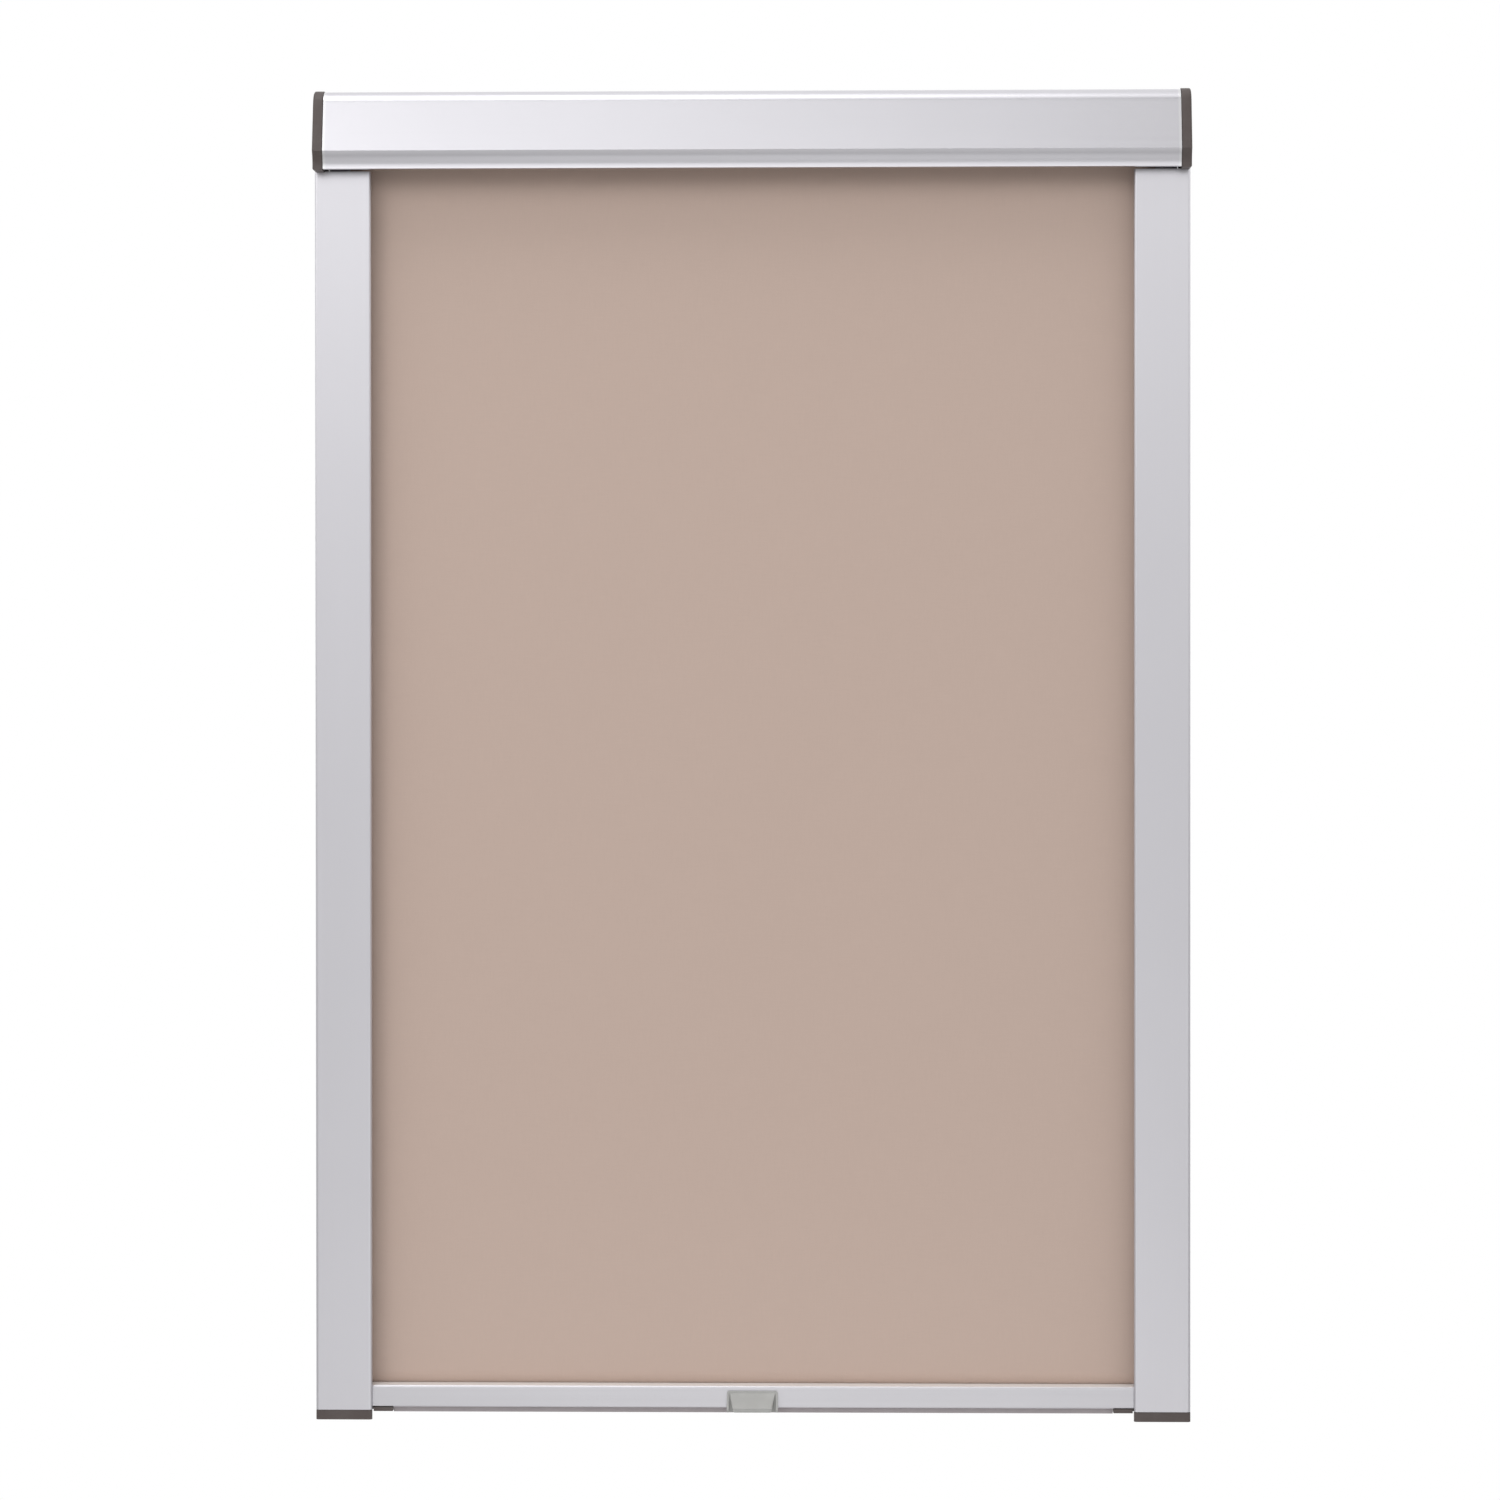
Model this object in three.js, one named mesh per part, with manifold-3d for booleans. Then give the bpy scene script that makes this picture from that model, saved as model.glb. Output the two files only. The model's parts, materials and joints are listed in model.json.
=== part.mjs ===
// A roller blind for a roof window: a spring roller in an aluminium headbox, two side rails that
// the fabric and its pull bar run in, and a pull bar with a moulded grip.
// Millimetres. +Z is up the window, +Y points out through the glass and the room is at -Y.
// The origin is on the headbox's flat back face, midway along it.

import * as THREE from 'three';
import { mergeVertices } from 'three/addons/utils/BufferGeometryUtils.js';
import Module from 'manifold-3d';

const wasm = await Module();
wasm.setup();

// Driving dimensions
const overallWidth = 613;
const overallHeight = 932;
const fitGap = 0.3;
const slideGap = 0.6;
const cutOverrun = 2;
const weldDistance = 0.001;

// Headbox extrusion
const shellHeight = 55.3;
const shellBelowOrigin = 27;
const shellWall = 1.4;
const faceLean = THREE.MathUtils.degToRad(12);
const topRadius = 11;
const backRadius = 2;
const coveHeight = 12.2;
const coveStart = THREE.MathUtils.degToRad(40);
const coveEnd = THREE.MathUtils.degToRad(-8);
const lipReturn = 5;
const backReturn = 3;
const portRadius = 1.75;
const portWall = 1.2;
const portSlot = 1.6;
const portBite = 0.4;
const portDrop = 4.3;
const portRise = 3;

// Headbox end caps, with the screws that hold them
const capThickness = 6.9;
const capSkin = 1.2;
const capProud = 0.7;
const chinDrop = 0.9;
const capRounding = 1.6;
const capRoundingSteps = 4;
const spigotLength = 6;
const spigotWall = 1.5;
const bossLength = 3;
const bossWall = 2.2;
const tongueLength = 14;
const tongueWidth = 5;
const tongueDepth = 12;
const capScrewRadius = 1.4;
const capScrewLength = 15;
const screwHeadRadius = 2.8;
const screwHeadHeight = 1.9;
const screwCrownShare = 0.7;

// Sash brackets, which the end caps slide onto
const bracketThickness = 1.5;
const bracketHeight = 30;
const bracketDepth = 25;
const bracketTabWidth = 12;
const bracketHoleRadius = 2.1;
const bracketSinkRadius = 3.8;
const bracketSinkShare = 0.8;
const bracketHoleSpacing = 15;
const bracketCornerRadius = 3;
const bracketClearance = 2.5;

// Side rails and their feet
const railWall = 1.4;
const railChamberWidth = 13.7;
const railGroove = 23;
const railEdgeRadius = 2;
const frontReturn = 3.4;
const rearReturn = 6.4;
const railHoleRadius = 2.2;
const railAccessRadius = 4.5;
const railHoleInset = 70;
const railHoleCount = 3;
const footHeight = 6.6;
const footTaper = 4.2;
const footSpigotLength = 12;
const footSpigotWall = 2;

// Fabric
const fabricThickness = 0.35;
const rollPitch = 0.75;
const rollTurns = 2.25;
const rollTail = 2;
const rollClearance = 1.8;

// Roller tube, its plugs and the pin it turns on
const rollerRise = 4;
const tubeWall = 0.9;
const tubeOverhang = 9;
const keywayWidth = 3.4;
const keywayDepth = 2.2;
const plugFlange = 1.5;
const plugLength = 18;
const idlePinRadius = 2;
const idlePinGrip = 14;
const idlePinShort = 1.5;
const idlePinTip = 0.5;
const bushWall = 1.7;
const bushFlange = 1;
const bushFlangeWidth = 1.6;
const bushLength = 6;

// Spring motor
const shaftRadius = 2.5;
const shaftFlat = 2.8;
const shaftSeat = 6;
const shaftOverhang = 8;
const hubWall = 1.3;
const hubTurns = 4;
const anchorLength = 10;
const anchorSetback = 12;
const collarWall = 3;
const driverLength = 14;
const wireRadius = 0.6;
const coilPitch = 3.3;
const coilTurns = 36;
const coilRoom = 0.4;

// Pull bar
const barWall = 1.4;
const barChamberDepth = 7.6;
const barEdgeRadius = 2;
const barLowerRadius = 1;
const rearChamberHeight = 4.1;
const hemChannelRadius = 2.6;
const hemSlot = 1.4;
const hemSlotDepth = 3.4;
const hemRodRadius = 1.5;
const sealNeck = 2.2;
const sealHead = 5.2;
const sealHeadHeight = 2;
const sealDrop = 4;

// Sliders at the ends of the pull bar, with their brakes
const sliderHead = 6;
const sliderTongue = 1.3;
const sliderToeDrop = 1.5;
const sliderSpigot = 22;
const sliderReach = 14;
const sliderCorner = 3;
const brakePadThickness = 1.6;
const brakePadWidth = 11;
const brakePadHeight = 11;
const brakePadCorner = 1.5;
const brakeStripThickness = 0.4;
const brakeStripBow = 1.2;
const brakeStripWidth = 8;
const brakeStripSpan = 10;

// Pull grip
const gripWidth = 35.7;
const gripHeight = 14.6;
const gripInset = 3.6;
const gripPlate = 1.2;
const gripCorner = 1.5;
const noseSideStep = 1.9;
const noseTaper = 2.7;
const noseReach = 6.4;
const noseStep = 0.5;
const noseChamfer = 3.3;
const noseEdge = 1.2;
const cheekWidth = 1.3;
const cheekReach = 4.6;
const cheekRounding = 2;
const pegRadius = 2;
const pegLength = 2.6;
const pegSpacing = 18;

// Facets in a full circle, for what is large, what is small and what is wound
const fineSides = 32;
const smallSides = 20;
const wireSides = 5;
const wireSteps = 8;
const arcSteps = 6;
const shortArcSteps = 3;

// Depths, counted from the back face: the rail is as deep as the pull bar that runs in it
const barDepth = 3 * barWall + 2 * hemChannelRadius + barChamberDepth;
const railDepth = frontReturn + barDepth + 2 * slideGap + rearReturn;
const barBack = -rearReturn - slideGap;
const barFront = barBack - barDepth;
const fabricY = barBack - barWall - hemChannelRadius;
const chamberBack = fabricY - hemChannelRadius - barWall;
const chamberFront = barFront + barWall;
const mouthFront = frontReturn - railDepth;

// Heights of the pull bar's parts, counted from its underside
const hemLevel = 2 * barWall + rearChamberHeight + hemChannelRadius;
const barHeight = hemLevel + hemChannelRadius + hemSlotDepth;
const chamberFloor = 2 * barWall + sealHeadHeight;
const chamberTop = barHeight - barWall;

// Heights of the whole blind
const shellBottom = -shellBelowOrigin;
const shellTop = shellBottom + shellHeight;
const capTop = shellTop + capProud;
const chinBottom = shellBottom - chinDrop;
const creaseLevel = shellBottom + coveHeight;
const floorLevel = capTop - overallHeight;
const footTop = floorLevel + footHeight;
const railTop = shellBottom - fitGap;
const railBottom = footTop + fitGap;
const sliderLow = -fitGap - sliderTongue;
const barBottom = footTop + fitGap - sliderLow;

// Widths, counted from the middle
const halfWidth = overallWidth / 2;
const railWidth = 2 * railWall + railChamberWidth + railGroove;
const railEdge = halfWidth - railWidth;
const grooveWeb = railEdge + railGroove;
const sliderOuter = grooveWeb - slideGap;
const barEnd = sliderOuter - sliderHead - fitGap;
const tongueEnd = railEdge - sliderReach;
const capInner = halfWidth - capThickness;
const shellEnd = capInner - fitGap;
const tubeEnd = barEnd + tubeOverhang;
const plugOuterEnd = tubeEnd + fitGap + plugFlange;
const bossFace = capInner - bossLength;
const bushFace = bossFace - fitGap;

// The roller is as thick as its shaft, spring and keyway make it
const bearingRadius = shaftRadius + fitGap;
const hubRadius = bearingRadius + hubWall;
const coilRadius = (hubRadius + fitGap + wireRadius) / Math.cos(Math.PI / wireSteps);
const keywayFloor = coilRadius + wireRadius + coilRoom + tubeWall;
const tubeRadius = keywayFloor + keywayDepth;
const tubeBore = tubeRadius - tubeWall;
const plugRadius = tubeBore - fitGap;
const rollInner = tubeRadius + fitGap;
const rollMiddle = rollInner + fabricThickness / 2 + rollPitch * rollTurns;
const rollerY = fabricY - rollMiddle;
const rollerZ = rollerRise;

// The headbox's face clears the whole fabric when it is wound up
const fullRoll = Math.sqrt(rollInner ** 2 + (overallHeight * fabricThickness) / Math.PI);
const faceSlope = Math.tan(faceLean);
const faceWall = shellWall / Math.cos(faceLean);
const shellDepth = fullRoll + rollClearance - rollerY + faceWall + (rollerZ - creaseLevel) * faceSlope;

// Colours and finishes
function finish(color, roughness, metalness) {
  return new THREE.MeshStandardMaterial({ color, roughness, metalness });
}

const anodised = () => finish(0xc6c6c8, 0.42, 0.85);
const darkPlastic = () => finish(0x6a605d, 0.55, 0);
const greyPlastic = () => finish(0xaeadab, 0.45, 0);
const whitePlastic = () => finish(0xe8e6e0, 0.5, 0);
const steel = () => finish(0xb9bcc0, 0.3, 1);
const beigeFabric = () => finish(0xbaa69b, 0.9, 0);
const greyRubber = () => finish(0x55504f, 0.8, 0);
const greyFelt = () => finish(0x77726e, 1, 0);

// Outlines: lists of [across, up] pairs, counterclockwise

function arc(centre, radius, from, to, steps = arcSteps) {
  const points = [];
  for (let i = 0; i <= steps; i += 1) {
    const angle = from + ((to - from) * i) / steps;
    points.push([centre[0] + radius * Math.cos(angle), centre[1] + radius * Math.sin(angle)]);
  }
  return points;
}

function circle(centre, radius, sides) {
  return arc(centre, radius, 0, 2 * Math.PI, sides).slice(0, sides);
}

function rectangle(left, right, bottom, top) {
  return [[left, bottom], [right, bottom], [right, top], [left, top]];
}

// A rectangle with a radius on each corner: lower left, lower right, upper right, upper left
function roundedRectangle(left, right, bottom, top, radii) {
  const corners = [
    [left, bottom, 1, 1],
    [right, bottom, -1, 1],
    [right, top, -1, -1],
    [left, top, 1, -1],
  ];
  return corners.flatMap(([x, y, inX, inY], i) => {
    const start = Math.PI + (i * Math.PI) / 2;
    const centre = [x + inX * radii[i], y + inY * radii[i]];
    return radii[i] > 0 ? arc(centre, radii[i], start, start + Math.PI / 2, shortArcSteps) : [[x, y]];
  });
}

// A path moved sideways, to its left, by a distance; a closed one turns its last corner too
function offsetPath(points, distance, closed = false) {
  const count = points.length;
  const normal = (a, b) => {
    const length = Math.hypot(b[0] - a[0], b[1] - a[1]);
    return [-(b[1] - a[1]) / length, (b[0] - a[0]) / length];
  };
  return points.map((point, i) => {
    const first = i === 0 && !closed;
    const last = i === count - 1 && !closed;
    const before = first ? normal(point, points[1]) : normal(points[(i + count - 1) % count], point);
    const after = last ? before : normal(point, points[(i + 1) % count]);
    const spread = 1 + before[0] * after[0] + before[1] * after[1];
    return [
      point[0] + (distance * (before[0] + after[0])) / spread,
      point[1] + (distance * (before[1] + after[1])) / spread,
    ];
  });
}

function strip(path, thickness) {
  return [...path, ...offsetPath(path, thickness).reverse()];
}

function vectorsOf(outline) {
  return outline.map(([x, y]) => new THREE.Vector2(x, y));
}

// Solids: an outline pushed along one axis, from one place to another

const asYZ = new THREE.Matrix4().makeBasis(
  new THREE.Vector3(0, 1, 0),
  new THREE.Vector3(0, 0, 1),
  new THREE.Vector3(1, 0, 0),
);
const asXZ = new THREE.Matrix4().makeBasis(
  new THREE.Vector3(1, 0, 0),
  new THREE.Vector3(0, 0, 1),
  new THREE.Vector3(0, -1, 0),
);

function alongZ(outline, from, to) {
  const shape = new THREE.Shape(vectorsOf(outline));
  const geometry = new THREE.ExtrudeGeometry(shape, { depth: to - from, bevelEnabled: false });
  return geometry.translate(0, 0, from);
}

function alongX(outline, from, to) {
  return alongZ(outline, from, to).applyMatrix4(asYZ);
}

function alongY(outline, from, to) {
  return alongZ(outline, -to, -from).applyMatrix4(asXZ);
}

// A cutter that runs past both ends of a piece that lies evenly about the middle
function throughX(outline, halfLength) {
  return alongX(outline, -halfLength - cutOverrun, halfLength + cutOverrun);
}

// A round piece about X, from [place along X, radius] pairs that start and end on the axis
function turned(profile, sides) {
  const points = profile.map(([along, radius]) => new THREE.Vector2(radius, along));
  return new THREE.LatheGeometry(points, sides).rotateZ(-Math.PI / 2);
}

function rod(radius, from, to, sides) {
  return turned([[from, 0], [from, radius], [to, radius], [to, 0]], sides);
}

// A closed mesh over rings of points, with the same triangles between the corners at both ends
function skinned(rings, lid) {
  const sides = rings[0].length;
  const last = (rings.length - 1) * sides;
  const triangles = lid.flatMap(([a, b, c]) => [c, b, a, last + a, last + b, last + c]);
  for (let here = 0; here < last; here += sides) {
    const there = here + sides;
    for (let side = 0; side < sides; side += 1) {
      const next = (side + 1) % sides;
      triangles.push(here + side, here + next, there + next, here + side, there + next, there + side);
    }
  }
  const positions = rings.flat().flatMap((point) => point.toArray());
  const geometry = new THREE.BufferGeometry();
  geometry.setAttribute('position', new THREE.Float32BufferAttribute(positions, 3));
  geometry.setIndex(triangles);
  return geometry;
}

// Joining and cutting

function welded(geometry) {
  const bare = new THREE.BufferGeometry();
  bare.setAttribute('position', geometry.getAttribute('position').clone());
  if (geometry.index) bare.setIndex(geometry.index.clone());
  return mergeVertices(bare, weldDistance);
}

function solid(geometry) {
  const merged = welded(geometry);
  return new wasm.Manifold(new wasm.Mesh({
    numProp: 3,
    vertProperties: new Float32Array(merged.getAttribute('position').array),
    triVerts: new Uint32Array(merged.index.array),
  }));
}

function geometryOf(body) {
  const mesh = body.getMesh();
  const geometry = new THREE.BufferGeometry();
  geometry.setAttribute('position', new THREE.Float32BufferAttribute(mesh.vertProperties, 3));
  geometry.setIndex(Array.from(mesh.triVerts));
  geometry.computeVertexNormals();
  return geometry;
}

function join(...geometries) {
  return geometryOf(geometries.map(solid).reduce((whole, piece) => whole.add(piece)));
}

function cut(geometry, ...tools) {
  return geometryOf(tools.map(solid).reduce((whole, tool) => whole.subtract(tool), solid(geometry)));
}

// The same piece for the other side: left and right swapped, with its faces still pointing out
function mirrored(geometry) {
  const copy = welded(geometry).scale(-1, 1, 1);
  const corners = copy.index.array;
  for (let i = 0; i < corners.length; i += 3) {
    const first = corners[i];
    corners[i] = corners[i + 1];
    corners[i + 1] = first;
  }
  copy.computeVertexNormals();
  return copy;
}

// Headbox

// The outside of the headbox in [y, z], up its back, over its top and down its leaning face to the
// crease, then through the hollow cove to its lower edge
function headboxSkin() {
  const roundLevel = shellTop - topRadius;
  const roundY = -shellDepth + topRadius / Math.cos(faceLean) + (roundLevel - creaseLevel) * faceSlope;
  const coveRadius = coveHeight / (Math.sin(coveStart) - Math.sin(coveEnd));
  const coveCentre = [
    -shellDepth - coveRadius * Math.cos(coveStart),
    creaseLevel - coveRadius * Math.sin(coveStart),
  ];
  return [
    [0, shellBottom],
    ...arc([-backRadius, shellTop - backRadius], backRadius, 0, Math.PI / 2),
    ...arc([roundY, roundLevel], topRadius, Math.PI / 2, Math.PI - faceLean),
    ...arc(coveCentre, coveRadius, coveStart, coveEnd),
  ];
}

const skin = headboxSkin();
const pointsToTop = 2 + arcSteps;

// Screw ports: one in the upper front corner, one low on the back wall
const portOuter = portRadius + portWall;
const frontPortZ = shellTop - shellWall - portOuter - portDrop;
const frontPortY = -shellDepth + faceWall + (frontPortZ - creaseLevel) * faceSlope + portOuter - portBite;
const backPortZ = shellBottom + shellWall + portOuter + portRise;
const backPortY = -shellWall - portOuter + portBite;
const ports = [[frontPortY, frontPortZ], [backPortY, backPortZ]];
const portNames = ['front', 'back'];

function alongPorts(radius, from, to) {
  return ports.map((centre) => alongX(circle(centre, radius, smallSides), from, to));
}

// The slit that lets the die make each port, on the side that faces the roller
function portSlits() {
  const reach = portOuter + cutOverrun;
  const spans = [[frontPortY, frontPortY + reach], [backPortY - reach, backPortY]];
  return ports.map(([, z], i) => (
    throughX(rectangle(spans[i][0], spans[i][1], z - portSlot / 2, z + portSlot / 2), shellEnd)
  ));
}

function headboxShell() {
  const lipEdge = skin.at(-1)[0];
  const path = [[-backReturn, shellBottom], ...skin, [lipEdge + lipReturn, shellBottom]];
  const wall = alongX(strip(path, shellWall), -shellEnd, shellEnd);
  const bores = ports.map((centre) => throughX(circle(centre, portRadius, smallSides), shellEnd));
  return cut(join(wall, ...alongPorts(portOuter, -shellEnd, shellEnd)), ...bores, ...portSlits());
}

// The end caps are drawn for the left end: x is 0 on the outer face and grows inwards

// The cap's plate, a little proud of the extrusion, with a chin in front of the rail
function capPlate() {
  const face = offsetPath(skin, -capProud).slice(pointsToTop);
  const outline = [
    [0, shellBottom],
    ...arc([-backRadius, capTop - backRadius], backRadius, 0, Math.PI / 2),
    ...face,
    [face.at(-1)[0], chinBottom],
    [-railDepth - fitGap, chinBottom],
    [-railDepth - fitGap, shellBottom],
  ];
  const rings = [];
  for (let i = 0; i <= capRoundingSteps; i += 1) {
    const angle = (i * Math.PI) / (2 * capRoundingSteps);
    rings.push([capRounding * (1 - Math.cos(angle)), capRounding * (1 - Math.sin(angle))]);
  }
  rings.push([capThickness, 0]);
  const lid = THREE.ShapeUtils.triangulateShape(vectorsOf(outline), []);
  return skinned(rings.map(([x, inset]) => (
    offsetPath(outline, inset, true).map(([y, z]) => new THREE.Vector3(x, y, z))
  )), lid);
}

// The rib that locates the cap inside the extrusion, kept clear of its ports and lower return
function capSpigot() {
  const inside = offsetPath(skin, shellWall + fitGap).slice(1);
  const end = capThickness + spigotLength;
  const rib = alongX(strip(inside, spigotWall), capThickness - cutOverrun, end);
  const below = rectangle(
    -shellDepth - cutOverrun,
    cutOverrun,
    shellBottom - cutOverrun,
    shellBottom + shellWall + fitGap,
  );
  return cut(
    rib,
    ...alongPorts(portOuter + fitGap, -cutOverrun, end + cutOverrun),
    alongX(below, -cutOverrun, end + cutOverrun),
  );
}

// The tongue below the cap that lines the rail up
function capTongue() {
  const from = railWall + fitGap;
  const middle = -railDepth / 2;
  const outline = rectangle(
    middle - tongueDepth / 2,
    middle + tongueDepth / 2,
    railTop - tongueLength,
    shellBottom + cutOverrun,
  );
  return alongX(outline, from, from + tongueWidth);
}

const bracketBottom = backPortZ + screwHeadRadius + fitGap + bracketClearance;
const bracketTop = bracketBottom + bracketHeight;
const bracketTabEnd = capThickness - capSkin - fitGap;
const bracketMiddle = -bracketDepth / 2;

// The recess in the cap's outer face that the bracket fills, with a slot for the bracket's tab
function bracketPocket() {
  const plate = rectangle(-bracketDepth - fitGap, cutOverrun, bracketBottom - fitGap, bracketTop + fitGap);
  const tab = rectangle(
    bracketMiddle - bracketTabWidth / 2 - fitGap,
    cutOverrun,
    bracketTop - bracketThickness - fitGap,
    bracketTop + fitGap,
  );
  return [
    alongX(plate, -cutOverrun, bracketThickness + fitGap),
    alongX(tab, -cutOverrun, bracketTabEnd + fitGap),
  ];
}

function capScrewCuts() {
  return [
    ...alongPorts(screwHeadRadius + fitGap, -cutOverrun, screwHeadHeight + 2 * fitGap),
    ...alongPorts(capScrewRadius + fitGap, -cutOverrun, capThickness + cutOverrun),
  ];
}

const axisPlace = [rollerY, rollerZ];
const bossEnd = capThickness + bossLength;
const bushRadius = idlePinRadius + fitGap + bushWall;

function capWith(bossRadius, seat) {
  const boss = alongX(circle(axisPlace, bossRadius, smallSides), capThickness - cutOverrun, bossEnd);
  const body = join(capPlate(), capSpigot(), capTongue(), boss);
  return cut(body, seat, ...bracketPocket(), ...capScrewCuts());
}

function leftCap() {
  const seat = circle(axisPlace, bushRadius + fitGap, smallSides);
  return capWith(bushRadius + bossWall, alongX(seat, bossEnd - bushLength, bossEnd + cutOverrun));
}

// The right cap holds the spring shaft by its flats, so its seat is a slot and not a round hole
function rightCap() {
  const half = shaftFlat / 2 + fitGap;
  const seat = rectangle(rollerY - half, rollerY + half, rollerZ - bearingRadius, rollerZ + bearingRadius);
  const cutter = alongX(seat, bossEnd - shaftSeat - fitGap, bossEnd + cutOverrun);
  return mirrored(capWith(bearingRadius + bossWall, cutter));
}

// A pan-head screw, drawn on the axis from the cap's outer face inwards
function capScrew() {
  const under = fitGap + screwHeadHeight;
  return turned([
    [fitGap, 0],
    [fitGap, screwHeadRadius * screwCrownShare],
    [fitGap + screwHeadHeight / 2, screwHeadRadius],
    [under, screwHeadRadius],
    [under, capScrewRadius],
    [under + capScrewLength - capScrewRadius, capScrewRadius],
    [under + capScrewLength, 0],
  ], smallSides);
}

// Bracket: a steel plate on the sash, with a tab bent inwards that carries the cap
function sashBracket() {
  const radii = [bracketCornerRadius, 0, 0, bracketCornerRadius];
  const plate = alongX(
    roundedRectangle(-bracketDepth, 0, bracketBottom, bracketTop, radii),
    0,
    bracketThickness,
  );
  const tab = rectangle(
    bracketMiddle - bracketTabWidth / 2,
    bracketMiddle + bracketTabWidth / 2,
    bracketTop - bracketThickness,
    bracketTop,
  );
  const sink = [
    [-cutOverrun, 0],
    [-cutOverrun, bracketHoleRadius],
    [bracketThickness * (1 - bracketSinkShare), bracketHoleRadius],
    [bracketThickness, bracketSinkRadius],
    [bracketThickness + cutOverrun, bracketSinkRadius],
    [bracketThickness + cutOverrun, 0],
  ];
  const holes = [-1, 1].map((side) => {
    const z = (bracketBottom + bracketTop - bracketThickness + side * bracketHoleSpacing) / 2;
    return turned(sink, smallSides).translate(0, bracketMiddle, z);
  });
  return cut(join(plate, alongX(tab, 0, bracketTabEnd)), ...holes);
}

// Side rails, drawn for the left side: x is 0 on the outer face and grows inwards

const webInner = railWidth - railGroove;

function railFront() {
  const r = railEdgeRadius;
  return [
    [0, 0],
    ...arc([r, r - railDepth], r, Math.PI, 1.5 * Math.PI, shortArcSteps),
    ...arc([railWidth - r, r - railDepth], r, 1.5 * Math.PI, 2 * Math.PI, shortArcSteps),
  ];
}

function railSection() {
  return [
    ...railFront(),
    [railWidth, mouthFront],
    [railWidth - railWall, mouthFront],
    [railWidth - railWall, railWall - railDepth],
    [webInner, railWall - railDepth],
    [webInner, -railWall],
    [railWidth - railWall, -railWall],
    [railWidth - railWall, -rearReturn],
    [railWidth, -rearReturn],
    [railWidth, 0],
  ];
}

function railChamber(inset) {
  const edge = railWall + inset;
  return rectangle(edge, webInner - edge, edge - railDepth, -edge);
}

function sideRail() {
  const length = railTop - railBottom;
  const blank = alongZ(railSection(), 0, length);
  const cuts = [alongZ(railChamber(0), -cutOverrun, length + cutOverrun)];
  for (let i = 0; i < railHoleCount; i += 1) {
    const z = railHoleInset + ((length - 2 * railHoleInset) * i) / (railHoleCount - 1);
    const screw = rod(railHoleRadius, -cutOverrun, railWall + cutOverrun, smallSides);
    const webOuter = webInner - railWall;
    const access = rod(railAccessRadius, webOuter - cutOverrun, webInner + cutOverrun, smallSides);
    cuts.push(screw.translate(0, -railDepth / 2, z), access.translate(0, -railDepth / 2, z));
  }
  return cut(blank, ...cuts);
}

// Foot: a plate under the rail's end, drawn in towards the back on its inner side, with a hollow
// plug that goes up into the closed chamber
function railFoot() {
  const plugTop = footHeight + fitGap + footSpigotLength;
  const plate = alongZ([...railFront(), [railWidth - footTaper, 0]], 0, footHeight);
  const plug = alongZ(railChamber(fitGap), footHeight - fitGap, plugTop);
  const hollow = alongZ(railChamber(fitGap + footSpigotWall), footHeight, plugTop + cutOverrun);
  return cut(join(plate, plug), hollow);
}

// Roller, drawn about its own axis

// A round outline in [y, z] with the keyway's notch at the top
function keyedCircle(radius, notchHalfWidth, notchFloor) {
  const half = Math.asin(notchHalfWidth / radius);
  return [
    ...arc([0, 0], radius, Math.PI / 2 + half, 2.5 * Math.PI - half, fineSides),
    [notchHalfWidth, notchFloor],
    [-notchHalfWidth, notchFloor],
  ];
}

function rollerTube() {
  const outside = keyedCircle(tubeRadius, keywayWidth / 2, keywayFloor);
  const inside = keyedCircle(tubeBore, keywayWidth / 2 + tubeWall, keywayFloor - tubeWall);
  return cut(alongX(outside, -tubeEnd, tubeEnd), throughX(inside, tubeEnd));
}

function plugSection() {
  const inset = tubeWall + fitGap;
  return keyedCircle(plugRadius, keywayWidth / 2 + inset, keywayFloor - inset);
}

// A plug in the tube's end, with a flange over the end and a bore for what it turns on
function endPlug(boreRadius) {
  const flange = alongX(circle([0, 0], tubeRadius, fineSides), tubeEnd + fitGap, plugOuterEnd);
  const body = alongX(plugSection(), tubeEnd - plugLength, plugOuterEnd - plugFlange / 2);
  const bore = rod(boreRadius, tubeEnd - plugLength - cutOverrun, plugOuterEnd + cutOverrun, smallSides);
  return cut(join(flange, body), bore);
}

function idlePin() {
  const from = tubeEnd - idlePinGrip;
  const to = bushFace + bushLength - idlePinShort;
  return turned([
    [from, 0],
    [from, idlePinRadius - idlePinTip],
    [from + idlePinTip, idlePinRadius],
    [to - idlePinTip, idlePinRadius],
    [to, idlePinRadius - idlePinTip],
    [to, 0],
  ], smallSides);
}

function idleBush() {
  const bore = idlePinRadius + fitGap;
  return turned([
    [bushFace - bushFlange, bore],
    [bushFace - bushFlange, bushRadius + bushFlangeWidth],
    [bushFace, bushRadius + bushFlangeWidth],
    [bushFace, bushRadius],
    [bushFace + bushLength, bushRadius],
    [bushFace + bushLength, bore],
    [bushFace - bushFlange, bore],
  ], smallSides);
}

// The wound end of the fabric: a spiral from the keyway out to where the fabric leaves the roll
function fabricRoll() {
  const steps = Math.round(rollTurns * fineSides);
  const half = fabricThickness / 2;
  const spiral = (side) => Array.from({ length: steps + 1 }, (_, i) => {
    const turn = (rollTurns * i) / steps;
    const radius = rollMiddle - rollPitch * turn + side * half;
    return [radius * Math.cos(2 * Math.PI * turn), radius * Math.sin(2 * Math.PI * turn)];
  });
  const tail = [[rollMiddle - half, -rollTail], [rollMiddle + half, -rollTail]];
  return alongX([...spiral(1), ...spiral(-1).reverse(), ...tail], -barEnd, barEnd);
}

function lockStrip() {
  const half = keywayWidth / 2 - fitGap;
  return alongX(rectangle(-half, half, keywayFloor + fitGap, tubeRadius), -barEnd, barEnd);
}

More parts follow.
